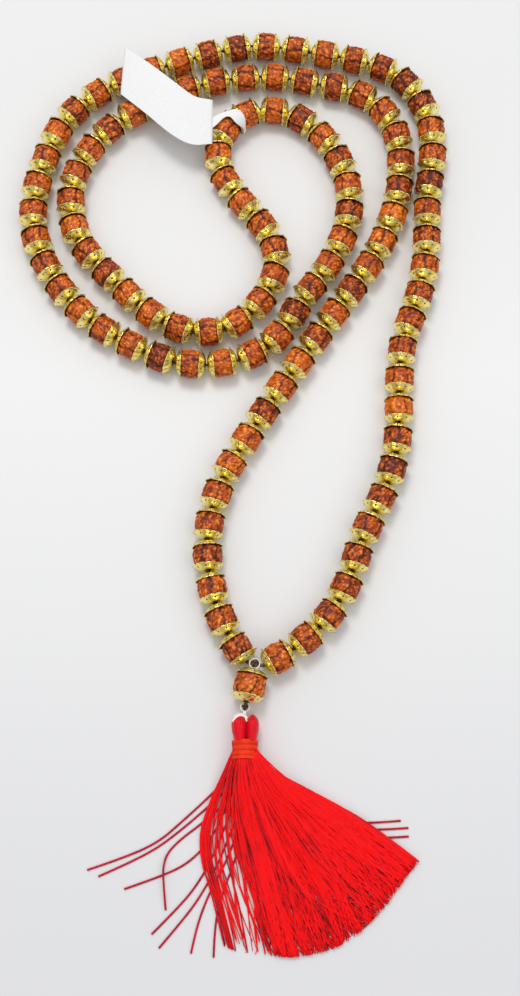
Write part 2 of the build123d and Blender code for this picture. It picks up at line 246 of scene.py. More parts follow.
def tubes(lines, radius, columns=6, twist=0.0, lobes=0.0):
    """Round tubes along lines of shape (copies, rows, 3). A lobed tube is thread of two plies: its radius is
    radius (1 + lobes cos(2 (angle - twist s))), where s is the length reached along the line."""
    ahead = np.gradient(lines, axis=1)
    ahead = ahead / np.linalg.norm(ahead, axis=2)[..., None]
    guide = np.where(np.abs(ahead[..., 2:]) > 0.9, [[[1.0, 0, 0]]], [[[0, 0, 1.0]]])
    side = np.cross(ahead, guide)
    side = side / np.linalg.norm(side, axis=2)[..., None]
    up = np.cross(side, ahead)
    step = np.linalg.norm(np.diff(lines, axis=1), axis=2)
    reached = np.concatenate([np.zeros((len(lines), 1)), np.cumsum(step, axis=1)], axis=1)
    angle = np.arange(columns) * TURN / columns
    swell = 1 + lobes * np.cos(2 * (angle[None, None] - twist * reached[..., None]))
    size = np.broadcast_to(np.asarray(radius, float), lines.shape[:2])[..., None] * swell
    ring = side[:, :, None] * np.cos(angle)[:, None] + up[:, :, None] * np.sin(angle)[:, None]
    return lines[:, :, None] + ring * size[..., None]


strand_length = float(np.linalg.norm(np.diff(gaps, axis=0), axis=1).sum())
print("helpers ready; the strand is", round(strand_length, 1), "mm")

# %% [markdown]
# ## Shader groups
#
# Three effects come back in several finishes: fine grain, tiny pierced holes and spun fibres. Each is a
# node group with named inputs, built once. A group puts out only values and colours, and the Principled
# shader stays in the material. Patterns read Object coordinates or an attribute that the mesh carries,
# so they stay on their piece when it turns.

# %% A short way to write node trees


class Tree:
    """Nodes of one tree, added and linked by short calls."""

    def __init__(self, tree):
        self.tree = tree

    def add(self, kind, inputs=None, **settings):
        node = self.tree.nodes.new(kind)
        for key, value in settings.items():
            setattr(node, key, value)
        for key, value in (inputs or {}).items():
            if isinstance(value, bpy.types.NodeSocket):
                self.tree.links.new(value, node.inputs[key])
            else:
                node.inputs[key].default_value = value
        return node

    def math(self, operation, *values):
        node = self.add("ShaderNodeMath", dict(enumerate(values)), operation=operation)
        return node.outputs[0]

    def attribute(self, name, output="Fac"):
        return self.add("ShaderNodeAttribute", attribute_name=name).outputs[output]

    def place(self):
        return self.add("ShaderNodeTexCoord").outputs["Object"]

    def between(self, factor, low, high):
        """A colour between two, by a factor."""
        node = self.add("ShaderNodeMix", {"Factor": factor}, data_type="RGBA")
        for socket, value in ((node.inputs[6], low), (node.inputs[7], high)):
            if isinstance(value, bpy.types.NodeSocket):
                self.tree.links.new(value, socket)
            else:
                socket.default_value = (*value, 1)
        return node.outputs[2]

    def ramp(self, factor, stops):
        """A colour ramp from a list of (position, colour)."""
        node = self.add("ShaderNodeValToRGB", {"Fac": factor})
        marks = node.color_ramp.elements
        while len(marks) < len(stops):
            marks.new(0.5)
        for mark, (position, colour) in zip(marks, stops):
            mark.position = position
            mark.color = (*colour, 1)
        return node.outputs["Color"]

    def spread(self, value, low, high, to_low=0.0, to_high=1.0):
        """Maps a range of values smoothly on another."""
        node = self.add(
            "ShaderNodeMapRange",
            {"Value": value, "From Min": low, "From Max": high, "To Min": to_low, "To Max": to_high},
            interpolation_type="SMOOTHSTEP",
        )
        return node.outputs["Result"]


def group(name, inputs, outputs):
    """An empty node group with typed sockets, and its input and output nodes."""
    made = bpy.data.node_groups.new(name, "ShaderNodeTree")
    for title, kind, value in inputs:
        socket = made.interface.new_socket(title, in_out="INPUT", socket_type="NodeSocket" + kind)
        if value is not None:
            socket.default_value = value
    for title, kind in outputs:
        made.interface.new_socket(title, in_out="OUTPUT", socket_type="NodeSocket" + kind)
    tree = Tree(made)
    return tree, tree.add("NodeGroupInput").outputs, tree.add("NodeGroupOutput")


def use(tree, made, **inputs):
    """Places a group in a tree."""
    node = tree.add("ShaderNodeGroup", node_tree=made)
    for title, value in inputs.items():
        socket = node.inputs[title.replace("_", " ")]
        if isinstance(value, bpy.types.NodeSocket):
            tree.tree.links.new(value, socket)
        else:
            socket.default_value = value
    return node.outputs


def material(name, **constants):
    """A material with one Principled shader, whose plain values are set on its own sockets."""
    made = bpy.data.materials.new(name)
    made.use_nodes = True
    tree = Tree(made.node_tree)
    shader = made.node_tree.nodes["Principled BSDF"]
    for title, value in constants.items():
        shader.inputs[title.replace("_", " ")].default_value = value
    return made, tree, shader


def finish_with(tree, shader, colour=None, roughness=None, metallic=None, height=None, depth=0.0001):
    """Links what varies over the surface: colour, roughness, metallic, and a bump of that depth in metres."""
    for title, socket in (("Base Color", colour), ("Roughness", roughness), ("Metallic", metallic)):
        if socket is not None:
            tree.tree.links.new(socket, shader.inputs[title])
    if height is not None:
        bump = tree.add("ShaderNodeBump", {"Height": height, "Strength": 1.0, "Distance": depth})
        tree.tree.links.new(bump.outputs["Normal"], shader.inputs["Normal"])


# %% Group: fine grain, as on a seed's skin or on paper
tree, given, out = group(
    "fine grain",
    [("Place", "Vector", None), ("Scale", "Float", 900.0)],
    [("Height", "Float"), ("Mottle", "Float")],
)
coarse = tree.add("ShaderNodeTexNoise", {
    "Vector": given["Place"], "Scale": given["Scale"], "Detail": 5.0, "Roughness": 0.62,
})
cells = tree.add(
    "ShaderNodeTexVoronoi",
    {"Vector": given["Place"], "Scale": tree.math("MULTIPLY", given["Scale"], 1.7)},
    feature="SMOOTH_F1",
)
height = tree.math("SUBTRACT", coarse.outputs["Fac"], tree.math("MULTIPLY", cells.outputs["Distance"], 0.45))
tree.tree.links.new(height, out.inputs["Height"])
tree.tree.links.new(tree.spread(coarse.outputs["Fac"], 0.3, 0.72), out.inputs["Mottle"])
fine_grain = tree.tree
print("group:", fine_grain.name)

# %% Group: a ring of small round holes, from a place about the ring's own axis in millimetres
tree, given, out = group(
    "ring of holes",
    [("Local", "Vector", None), ("Count", "Float", 8.0), ("Level", "Float", 3.0), ("Size", "Float", 0.3),
     ("Turned", "Float", 0.0)],
    [("Mask", "Float")],
)
part_of = tree.add("ShaderNodeSeparateXYZ", {"Vector": given["Local"]}).outputs
angle = tree.math("ARCTAN2", part_of["Y"], part_of["X"])


def both_ways(tree, one, other):
    """The length of two steps at a right angle: the root of the sum of their squares."""
    squares = [tree.math("MULTIPLY", way, way) for way in (one, other)]
    return tree.math("SQRT", tree.math("ADD", *squares))


WHOLE_TURNS = 100.0        # added before the fraction is taken, so that it is taken of a positive number
reach = both_ways(tree, part_of["X"], part_of["Y"])
share_round = tree.math("DIVIDE", angle, TURN)
step = tree.math("ADD", tree.math("MULTIPLY", share_round, given["Count"]), given["Turned"])
aside = tree.math("SUBTRACT", tree.math("FRACT", tree.math("ADD", step, WHOLE_TURNS)), 0.5)
aside = tree.math("MULTIPLY", tree.math("MULTIPLY", aside, TURN), reach)
aside = tree.math("DIVIDE", aside, given["Count"])
along = tree.math("SUBTRACT", part_of["Z"], given["Level"])
away = both_ways(tree, aside, along)
inside = tree.math("SUBTRACT", given["Size"], away)
tree.tree.links.new(tree.spread(inside, -0.05, 0.05), out.inputs["Mask"])
ring_of_holes = tree.tree
print("group:", ring_of_holes.name)

# %% Group: spun fibres along a thread, from Object coordinates stretched by noise
tree, given, out = group(
    "spun fibres",
    [("Place", "Vector", None), ("Tone", "Float", 0.5), ("Scale", "Float", 700.0)],
    [("Shade", "Float"), ("Height", "Float")],
)
fuzz = tree.add("ShaderNodeTexNoise", {
    "Vector": given["Place"], "Scale": given["Scale"], "Detail": 4.0, "Distortion": 0.6,
})
broad = tree.add("ShaderNodeTexNoise", {"Vector": given["Place"], "Scale": 120.0, "Detail": 2.0})
own_shade = tree.math("MULTIPLY", given["Tone"], 0.6)
shade = tree.math("ADD", own_shade, tree.math("MULTIPLY", fuzz.outputs["Fac"], 0.4))
patches = tree.math("MULTIPLY", tree.math("SUBTRACT", broad.outputs["Fac"], 0.5), 0.5)
shade = tree.math("ADD", shade, patches)
tree.tree.links.new(shade, out.inputs["Shade"])
tree.tree.links.new(fuzz.outputs["Fac"], out.inputs["Height"])
spun_fibres = tree.tree
print("group:", spun_fibres.name)

# %% [markdown]
# ## The finishes
#
# A rudraksha seed is reddish brown, dark in its clefts and rubbed to orange on its knobs, with the dull
# gloss of oiled wood. Its mesh carries how high each point stands, and the colour follows that, so the
# grooves and clefts are partly the seed's own dark and partly painted shade, and the knobs partly rubbed
# wear and partly painted light. The caps are thin gilt brass, bright outside, with inner faces and small
# holes painted dark as painted shade. The tassel is saturated red silk, wound with a more orange thread.
# The tag is matt white paper.

# %% Seeds
SEED_STOPS = [
    (0.0, (0.07, 0.009, 0.001)), (0.2, (0.24, 0.030, 0.002)), (0.45, (0.54, 0.092, 0.002)),
    (0.75, (0.80, 0.175, 0.005)), (1.0, (0.96, 0.30, 0.018)),
]
seed_finish, tree, shader = material(
    "oiled seed", Roughness=0.45, Specular_IOR_Level=0.3, Coat_Weight=0.12, Coat_Roughness=0.35
)
grain = use(tree, fine_grain, Place=tree.place(), Scale=850.0)
# painted shade and light: the relief makes grooves and clefts darker and knob tops lighter, on top of the
# seed's own mottle and tone
painted_relief_and_tone = tree.math("ADD", tree.attribute("relief"), tree.math(
    "MULTIPLY", tree.math("SUBTRACT", grain["Mottle"], 0.5), 0.42
))
painted_relief_and_tone = tree.math("ADD", painted_relief_and_tone, tree.math("MULTIPLY", tree.math("SUBTRACT", tree.attribute("tone"), 0.5), 0.42))
finish_with(
    tree, shader, colour=tree.ramp(painted_relief_and_tone, SEED_STOPS), roughness=tree.spread(painted_relief_and_tone, 0.1, 0.9, 0.62, 0.34),
    height=grain["Height"], depth=0.0002,
)
print("finish:", seed_finish.name)

# %% Gilt caps
gilt, tree, shader = material("gilt brass", Roughness=0.24, Metallic=1.0)
local = tree.attribute("local", "Vector")
large = use(tree, ring_of_holes, Local=local, Count=8.0, Level=3.1, Size=0.2, Turned=0.0)["Mask"]
small = use(tree, ring_of_holes, Local=local, Count=16.0, Level=2.6, Size=0.11, Turned=0.5)["Mask"]
# painted shade: the holes and the cap's inner faces are painted dark brown, less metallic and rougher,
# standing in for the shade inside them
painted_shade_mask = tree.math("MAXIMUM", tree.math("MAXIMUM", large, small), tree.attribute("inside"))
wear = use(tree, fine_grain, Place=tree.place(), Scale=420.0)
bright = tree.between(wear["Mottle"], (0.86, 0.68, 0.17), (1.0, 0.90, 0.42))
finish_with(
    tree, shader, colour=tree.between(painted_shade_mask, bright, (0.10, 0.045, 0.008)),
    roughness=tree.math(
        "ADD", tree.spread(wear["Mottle"], 0, 1, 0.17, 0.32), tree.math("MULTIPLY", painted_shade_mask, 0.4)
    ),
    metallic=tree.math("SUBTRACT", 1.0, tree.math("MULTIPLY", painted_shade_mask, 0.85)),
    height=tree.math("SUBTRACT", wear["Height"], tree.math("MULTIPLY", painted_shade_mask, 3.0)), depth=0.00004,
)
print("finish:", gilt.name)


# %% Threads, each a darker and a lighter colour of spun fibre


def thread_finish(name, dark, light, **constants):
    """Spun thread: its shade runs between two colours with each thread's own tone and its fibres."""
    made, tree, shader = material(name, **constants)
    fibres = use(tree, spun_fibres, Place=tree.place(), Tone=tree.attribute("tone"), Scale=700.0)
    finish_with(
        tree, shader, colour=tree.between(tree.spread(fibres["Shade"], 0.15, 0.75), dark, light),
        height=fibres["Height"], depth=0.00006,
    )
    return made


dark_thread = thread_finish("dark twisted thread", (0.012, 0.006, 0.004), (0.13, 0.07, 0.035), Roughness=0.8)
white_thread = thread_finish("white cotton thread", (0.36, 0.33, 0.26), (0.95, 0.92, 0.86), Roughness=0.85)
SILK = {"Roughness": 0.4, "Specular_IOR_Level": 0.22, "Sheen_Weight": 0.08, "Sheen_Roughness": 0.3}
red_silk = thread_finish("red silk", (0.20, 0.0, 0.008), (0.95, 0.0, 0.002), **SILK)
head_silk = thread_finish("folded red silk", (0.5, 0.0, 0.008), (0.95, 0.0, 0.012), **SILK)
wound_silk = thread_finish("wound orange-red silk", (0.6, 0.008, 0.002), (0.95, 0.05, 0.006), **SILK)
print("finishes:", [made.name for made in (dark_thread, white_thread, red_silk, head_silk, wound_silk)])

# %% Paper
paper, tree, shader = material("matt white paper", Roughness=0.75)
grain = use(tree, fine_grain, Place=tree.place(), Scale=1600.0)
finish_with(
    tree, shader, colour=tree.between(grain["Mottle"], (0.79, 0.79, 0.785), (0.84, 0.84, 0.84)),
    roughness=tree.spread(grain["Mottle"], 0, 1, 0.68, 0.85), height=grain["Height"], depth=0.00003,
)
print("finish:", paper.name)

# %% [markdown]
# ## The seeds
#
# A rudraksha seed is a small barrel with five clefts from end to end, and worm-like knobs between
# them. The knobs are cells round scattered points: where the nearest and the second nearest point are
# equally far away there is a groove, and the skin rises between grooves. Each seed draws its own points,
# so no two are alike. The profile runs over the outside and back through the hole, so the mesh closes.

# %% A seed's profile and relief
SEED_RADIUS = 4.0
SEED_HALF = 3.25
SEED_SHOULDER = 0.3
SEED_EDGE = 2.2
BORE = 0.75
SEED_COLUMNS = 72
OUTER_ROWS = 26


def barrel(z, radius, half, edge):
    """Radius of a barrel at height z: radius - shoulder (z / half)^2, with a quarter circle of the given
    edge radius taken off towards each end."""
    past = np.clip(np.abs(z) - (half - edge), 0, edge)
    side = radius - SEED_SHOULDER * (z / half) ** 2
    return side - edge + np.sqrt(edge**2 - past**2)


def seed_shape(rng, radius=SEED_RADIUS, half=SEED_HALF):
    """One seed about its own Z axis: points (rows, columns, 3) and the relief, 0 in grooves to 1 on knobs.

    The skin lies at barrel(z) less 0.3 (1 - knob) + 0.24 cleft, where knob is the smoothed difference of
    the distances to the two nearest scattered points, and cleft is a narrow bell across each of five
    wavering lines."""
    lean = np.linspace(-1, 1, OUTER_ROWS) * math.radians(86)
    z = half * np.sin(lean)
    angle = np.arange(SEED_COLUMNS) * TURN / SEED_COLUMNS
    zz, aa = np.meshgrid(z, angle, indexing="ij")
    base = barrel(zz, radius, half, SEED_EDGE)
    skin = np.stack([base * np.cos(aa), base * np.sin(aa), zz], axis=-1)
    warped = skin + 0.3 * np.sin(skin[..., [1, 2, 0]] * 2.1 + rng.uniform(0, TURN, 3))
    count = 250
    spots_angle, spots_z = rng.uniform(0, TURN, count), rng.uniform(-half, half, count)
    spots_base = barrel(spots_z, radius, half, SEED_EDGE)
    spots = np.stack([spots_base * np.cos(spots_angle), spots_base * np.sin(spots_angle), spots_z], axis=-1)
    away = np.sort(np.linalg.norm(warped[:, :, None] - spots, axis=-1), axis=-1)
    knob = smoothstep((away[..., 1] - away[..., 0]) / 0.5)
    lines = np.arange(5) * TURN / 5 + rng.uniform(0, TURN) + rng.normal(0, 0.09, 5)
    waver = 0.10 * np.sin(zz[..., None] * rng.uniform(0.8, 1.8, 5) + rng.uniform(0, TURN, 5))
    off = (aa[..., None] - lines - waver + math.pi) % TURN - math.pi
    cleft = np.exp(-((off * base[..., None] / 0.30) ** 2)).max(axis=-1)
    lump = 0.10 * np.sin(2 * aa + rng.uniform(0, TURN)) * np.cos(zz / half) - 0.10
    depth = 0.3 * (1 - knob) + 0.24 * cleft + 0.09 - np.minimum(lump, 0)
    size = base - depth * (base / radius)
    outer = np.stack([size * np.cos(aa), size * np.sin(aa), zz], axis=-1)
    hole_z = np.array([half, -half])[:, None] * np.ones(SEED_COLUMNS)
    ring = BORE * np.stack([np.cos(angle), np.sin(angle)])[:, None] * np.ones((2, 2, 1))
    hole = np.stack([ring[0], ring[1], hole_z], axis=-1)
    # the relief also sets the colour: low values are painted shade in the grooves and clefts, high values
    # painted light on the knobs
    relief = np.clip(0.2 + 0.72 * knob - 0.55 * cleft, 0, 1)
    return np.concatenate([outer, hole]), np.concatenate([relief, np.zeros((2, SEED_COLUMNS))])


def placed(shape, middle, axis, height=STRAND_HEIGHT, spin=0.0):
    """Turns a shape about its own Z axis by spin, lays that axis along a level direction, and moves it."""
    ahead = np.array([axis[0], axis[1], 0.0])
    left = np.array([-axis[1], axis[0], 0.0])
    c, s = math.cos(spin), math.sin(spin)
    x = shape[..., 0] * c - shape[..., 1] * s
    y = shape[..., 0] * s + shape[..., 1] * c
    up = np.array([0.0, 0.0, 1.0])
    return x[..., None] * up + y[..., None] * left + shape[..., 2:] * ahead + np.array([*middle, height])


print("a seed's grid:", OUTER_ROWS + 2, "by", SEED_COLUMNS, "points")

# %% The strand's seeds
rng = np.random.default_rng(108)
seed_points, seed_reliefs, seed_locals = [], [], []
for middle, axis in zip(bead_middles, bead_axes):
    shape, relief = seed_shape(rng)
    seed_points.append(placed(shape, middle, axis))
    seed_reliefs.append(relief)
    seed_locals.append(shape)
seed_tones = np.clip(rng.normal(0.5, 0.24, BEAD_COUNT), 0, 1)
COIL_START, COIL_END = len(LEFT_BEADS), BEAD_COUNT - len(RIGHT_BEADS)
COIL = COIL_END - COIL_START
FIRST_END = COIL_START + round(COIL * 0.33)
INNER_END = FIRST_END + round(COIL * 0.28)
TURNS = {
    "first_turn": range(COIL_START, FIRST_END), "inner_turn": range(FIRST_END, INNER_END),
    "outer_turn": range(INNER_END, COIL_END),
}


def seeds_piece(name, members, body, node):
    """The seeds of some places on the strand, as one piece."""
    points = np.stack([seed_points[n] for n in members])
    relief = np.stack([seed_reliefs[n] for n in members])
    tone = np.array([seed_tones[n] for n in members])[:, None, None]
    piece = surface(name, points, values={"relief": relief, "tone": tone})
    return dress(piece, seed_finish, body, "rudraksha_seeds", node)


for n, body in enumerate(LEFT_BEADS):
    seeds_piece(body.replace("bead", "seed"), [n], body, body)
for n, body in enumerate(RIGHT_BEADS):
    seeds_piece(body.replace("bead", "seed"), [BEAD_COUNT - 1 - n], body, body)
for name, members in TURNS.items():
    seeds_piece(name + "_seeds", members, "strand", name + "_beads")
print("seeds:", BEAD_COUNT, "with", SEED_COLUMNS * (OUTER_ROWS + 2), "faces each")

# %% [markdown]
# ## The caps
#
# Each seed has a cap at either end, stamped from thin brass sheet: a fluted dome pierced with small
# holes, and a brim cut in scallops with a raised grain in each. A closed profile, out over the dome and
# back inside it, is carried round the axis while its radius swells in flutes. The holes are drawn by the
# finish from the cap's own coordinates, which each point carries, as dark dots of painted shade; the cap's
# inner faces and its brim's edge are painted dark too, as painted shade. Every cap leans a little its own
# way, as loose caps do.

# %% A cap's profile, as (height from the seed's middle, radius, how far it is scalloped)
CAP_OUTER = [
    (2.36, 3.72, 0.8), (2.40, 3.93, 1.0), (2.52, 3.96, 1.0), (2.66, 3.86, 1.0), (2.74, 3.62, 0.7),
    (2.78, 3.42, 0.3), (2.92, 3.28, 0.1), (3.14, 3.06, 0.0), (3.38, 2.76, 0.0), (3.60, 2.38, 0.0),
    (3.78, 1.94, 0.0), (3.90, 1.45, 0.0), (3.93, 1.00, 0.0), (3.88, 0.80, 0.0),
]
CAP_INNER = [
    (3.78, 0.82, 0.0), (3.76, 1.40, 0.0), (3.62, 1.90, 0.0), (3.30, 2.56, 0.0), (2.86, 3.04, 0.0),
    (2.52, 3.28, 0.1), (2.42, 3.50, 0.5),
]
CAP_COLUMNS = 64
FLUTES = 8


def cap_shape(scale=1.0, half=SEED_HALF):
    """One cap about its own Z axis, with its brim below: points (rows, columns, 3), and 1 on the inside.

    The radius is the profile's, times 1 + 0.05 |cos(4 angle)| on the dome. The brim draws in by
    0.22 (1 - |cos(4 angle)|) between the scallops, and its grains rise by 0.08 cos(16 angle)."""
    profile = np.array(CAP_OUTER + CAP_INNER)
    z = profile[:, 0, None] + (half - SEED_HALF)
    radius, scallop = profile[:, 1, None], profile[:, 2, None]
    angle = np.arange(CAP_COLUMNS) * TURN / CAP_COLUMNS
    leaf = np.abs(np.cos(angle * FLUTES / 2))[None] ** 0.8
    dome = np.exp(-(((z - half - 0.05) / 0.4) ** 2))
    radius = radius * (1 + 0.05 * dome * (leaf - 0.5)) - 0.22 * scallop * (1 - leaf)
    radius = radius + 0.05 * scallop * np.cos(2 * FLUTES * angle)[None]
    z = z + 0.05 * scallop * np.cos(2 * FLUTES * angle)[None]
    radius = radius * scale
    points = np.stack([radius * np.cos(angle), radius * np.sin(angle), z * np.ones(CAP_COLUMNS)], axis=-1)
    # the inside values set the painted shade: 1 on the inner faces, 0.6 on the brim's outer edge as a painted
    # dark line
    inside = np.zeros(len(profile))
    inside[len(CAP_OUTER):] = 1
    inside[0] = 0.6
    return points, inside[:, None] * np.ones(CAP_COLUMNS)


def leaned(points, across_x, across_y, about=3.0):
    """Small turns about the two axes across the cap, about a point on its own axis."""
    x, y, z = points[..., 0], points[..., 1], points[..., 2] - about
    return np.stack([x + across_y * z, y - across_x * z, z - across_y * x + across_x * y + about], axis=-1)


plain_cap, cap_inside = cap_shape()
print("a cap's profile:", len(CAP_OUTER), "points outside and", len(CAP_INNER), "inside")


def caps_piece(name, members, body, node):
    """Both caps of each seed in some places on the strand, as one piece."""
    points = []
    for n in members:
        for facing in (1, -1):
            lean_x, lean_y = rng.normal(0, 0.022, 2)
            cap = leaned(plain_cap, lean_x, lean_y) * np.array([1, facing, facing])
            points.append(placed(cap, bead_middles[n], bead_axes[n], spin=rng.uniform(0, TURN)))
    count = len(points)
    local = np.broadcast_to(plain_cap, (count, *plain_cap.shape))
    piece = surface(
        name, np.stack(points), values={"inside": cap_inside}, vectors={"local": np.ascontiguousarray(local)}
    )
    return dress(piece, gilt, body, "bead_caps", node)


for name, members in TURNS.items():
    caps_piece(name + "_gilt_caps", members, "strand", name + "_caps")
caps_piece("left_gilt_caps", range(COIL_START), "strand", "left_strand_caps")
caps_piece("right_gilt_caps", range(COIL_END, BEAD_COUNT), "strand", "right_strand_caps")
print("caps:", 2 * BEAD_COUNT, "with", CAP_COLUMNS * len(plain_cap), "faces each")

# %% [markdown]
# ## The thread and its knot
#
# Two plies twisted together carry the beads. A tube whose radius swells twice round it, with the
# swelling turning as it goes along, looks like plied thread. The strand's ends are tied in one knot, and
# a knot is a thread too: a tube along a trefoil curve, squashed to the knot's size.

# %% Strand thread
THREAD_RADIUS = 0.4
knot_low, knot_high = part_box("joining_knot")
KNOT = (np.array(knot_low) + np.array(knot_high)) / 2 / MM - SHIFT
thread_line = np.vstack([KNOT[:2] - [0.3, 0], gaps, KNOT[:2] + [0.3, 0]])
thread_line = spaced(thread_line, 2400)
thread_line = np.column_stack([thread_line, np.full(len(thread_line), STRAND_HEIGHT)])[None]
piece = surface(
    "plied_strand_thread",
    tubes(thread_line, THREAD_RADIUS * 0.9, columns=10, twist=TURN / 2.4, lobes=0.14), close_rows=False,
    values={"tone": 0.45 + 0.3 * np.sin(np.arange(thread_line.shape[1]) * 0.9)[None, :, None]},
)
dress(piece, dark_thread, "strand", "strand_thread", "strand_thread")


def trefoil(middle, radius, height):
    """A trefoil knot: (sin t + 2 sin 2t, cos t - 2 cos 2t, -sin 3t), scaled to a radius and a half height."""
    t = np.linspace(0, TURN, 150, endpoint=False)
    curve = np.stack([np.sin(t) + 2 * np.sin(2 * t), np.cos(t) - 2 * np.cos(2 * t), -np.sin(3 * t)], axis=-1)
    return np.asarray(middle) + curve * np.array([radius / 3, radius / 3, height])


def closed_tubes(line, radius, columns=8, **plies):
    """A tube round a closed line: a tube along the line's points and its first two again, less the ends."""
    looped = np.vstack([line[-2:], line, line[:2]])[None]
    return tubes(looped, radius, columns, **plies)[:, 2:-2]


knot_tube = closed_tubes(trefoil(KNOT + [0, 0, 0.25], 0.78, 0.62), 0.36)
piece = surface("tied_knot", knot_tube, values={"tone": 0.35})
dress(piece, dark_thread, "strand", "strand_thread", "joining_knot")
print("thread and knot at", np.round(KNOT, 2))

# %% [markdown]
# ## The guru bead and what hangs it
#
# The larger bead sits below the knot. A pale eye of thread goes round the knot, so the pendant swings on
# it, and a dark thread runs from the eye through the bead to a small stop knot. The bead's place and its
# lean come from its own node and joint.

# %% Guru bead, its caps, its eye and its thread
JOINTS = {joint["name"]: joint for joint in frame["joints"]}


def joint_place(name):
    """A joint's place, in millimetres in the drawing."""
    return np.array(JOINTS[name]["pos_m"]) / MM - SHIFT


GURU_RADIUS = 4.2
GURU_HALF = 3.45
guru = joint_place("guru_bead_turn")
guru_axis = np.array(JOINTS["guru_bead_turn"]["axis"])[:2]
shape, relief = seed_shape(rng, radius=GURU_RADIUS, half=GURU_HALF)
points = placed(shape, guru[:2], guru_axis, guru[2])[None]
piece = surface("guru_seed", points, values={"relief": relief, "tone": 0.6})
dress(piece, seed_finish, "guru_bead", "rudraksha_seeds", "guru_bead")

guru_cap, guru_inside = cap_shape(scale=GURU_RADIUS / SEED_RADIUS, half=GURU_HALF)
for name, facing in (("guru_upper_cap", 1), ("guru_lower_cap", -1)):
    cap = leaned(guru_cap, *rng.normal(0, 0.015, 2)) * np.array([1, facing, facing])
    points = placed(cap, guru[:2], guru_axis, guru[2], spin=rng.uniform(0, TURN))
    local = guru_cap - np.array([0, 0, GURU_HALF - SEED_HALF])
    piece = surface(
        name.replace("cap", "gilt_cap"), points[None],
        values={"inside": guru_inside}, vectors={"local": local[None]},
    )
    dress(piece, gilt, "pendant", "bead_caps", name)

WHITE_PLIES = {"twist": TURN / 0.9, "lobes": 0.12}      # one turn in 0.9 mm
EYE_RADIUS = 1.24
EYE_ABOVE_STRAND = 0.74
EYE_THREAD = 0.17
eye_height = STRAND_HEIGHT + EYE_ABOVE_STRAND
around = np.linspace(0, TURN, 60, endpoint=False)


def ring_line(middle, radius):
    """A level ring of points round a middle."""
    return np.asarray(middle) + radius * np.stack([np.cos(around), np.sin(around), 0 * around], axis=-1)


eye = closed_tubes(ring_line([KNOT[0], KNOT[1], eye_height], EYE_RADIUS), EYE_THREAD, **WHITE_PLIES)
piece = surface("pale_eye", eye, values={"tone": 0.5})
dress(piece, white_thread, "pendant", "white_tie", "guru_thread")

stop = joint_place("tie_swing")
down = -np.array([guru_axis[0], guru_axis[1], 0])
core = np.array([
    [KNOT[0], KNOT[1], eye_height] + down * EYE_RADIUS,
    [KNOT[0], KNOT[1], 4.4] + down * 2.2,
    [guru[0], guru[1], guru[2]],
    [stop[0], stop[1], guru[2]],
])
core_line = spaced(smooth_line(core, 30), 90)[None]
piece = surface(
    "plied_guru_thread", tubes(core_line, 0.36, columns=10, twist=TURN / 2.2, lobes=0.14), close_rows=False,
    values={"tone": 0.4},
)
dress(piece, dark_thread, "pendant", "strand_thread", "guru_thread")
stop_low, stop_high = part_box("stop_knot")
stop_middle = (np.array(stop_low) + np.array(stop_high)) / 2 / MM - SHIFT
piece = surface("tied_stop_knot", closed_tubes(trefoil(stop_middle, 0.58, 0.55), 0.28), values={"tone": 0.3})
dress(piece, dark_thread, "pendant", "strand_thread", "stop_knot")
print("guru bead at", np.round(guru, 2), "stop knot at", np.round(stop_middle, 2))

# %% [markdown]
# ## The tassel's tie, head and neck
#
# White cotton goes round the stop knot and down into the tassel's head, where a short cross length
# carries the folded silk. The head is two lobes of silk bent over that cross length, so each lobe is an
# egg of upright threads: its outline swells a little round every thread. A length of more orange silk is
# wound round the neck in close turns, a helix on an oval.

# %% White tie
bar = joint_place("tassel_lift")
TIE_EYE_RADIUS = 1.04
TIE_EYE_THREAD = 0.2
STEM_THREAD = 0.22
BAR_THREAD = 0.27
BAR_HALF = 2.3
tie_height = guru[2] - EYE_ABOVE_STRAND
eye = closed_tubes(ring_line([stop[0], stop[1], tie_height], TIE_EYE_RADIUS), TIE_EYE_THREAD, **WHITE_PLIES)
piece = surface("white_tie_eye", eye, values={"tone": 0.6})
dress(piece, white_thread, "tassel_tie", "white_tie", "tassel_tie")
stem = np.array([
    [stop[0] - 0.1, stop[1] - TIE_EYE_RADIUS, tie_height], [stop[0] - 0.12, stop[1] - 1.9, tie_height + 0.1],
    [bar[0] - 0.05, bar[1] + 0.5, bar[2] + 0.15], [bar[0], bar[1], bar[2]],
])
stem_line = spaced(smooth_line(stem, 20), 40)[None]
twin = np.concatenate([stem_line + [0.2, 0, 0], stem_line - [0.2, 0, 0]])
piece = surface(
    "white_tie_stem", tubes(twin, STEM_THREAD, columns=8, **WHITE_PLIES), close_rows=False,
    values={"tone": 0.7},
)
dress(piece, white_thread, "tassel_tie", "white_tie", "tassel_tie")
bar_line = np.linspace(bar - [BAR_HALF, 0, 0], bar + [BAR_HALF, 0, 0], 40)[None]
piece = surface(
    "white_tie_bar", tubes(bar_line, BAR_THREAD, columns=8, **WHITE_PLIES), close_rows=False,
    values={"tone": 0.5},
)
dress(piece, white_thread, "tassel_tie", "white_tie", "tassel_tie")
print("tie from", np.round(stop, 2), "to its cross length at", np.round(bar, 2))

# %% Head: two lobes of folded silk
head_low, head_high = (np.array(corner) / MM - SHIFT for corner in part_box("tassel_head"))
HEAD_ROWS, HEAD_COLUMNS = 44, 120


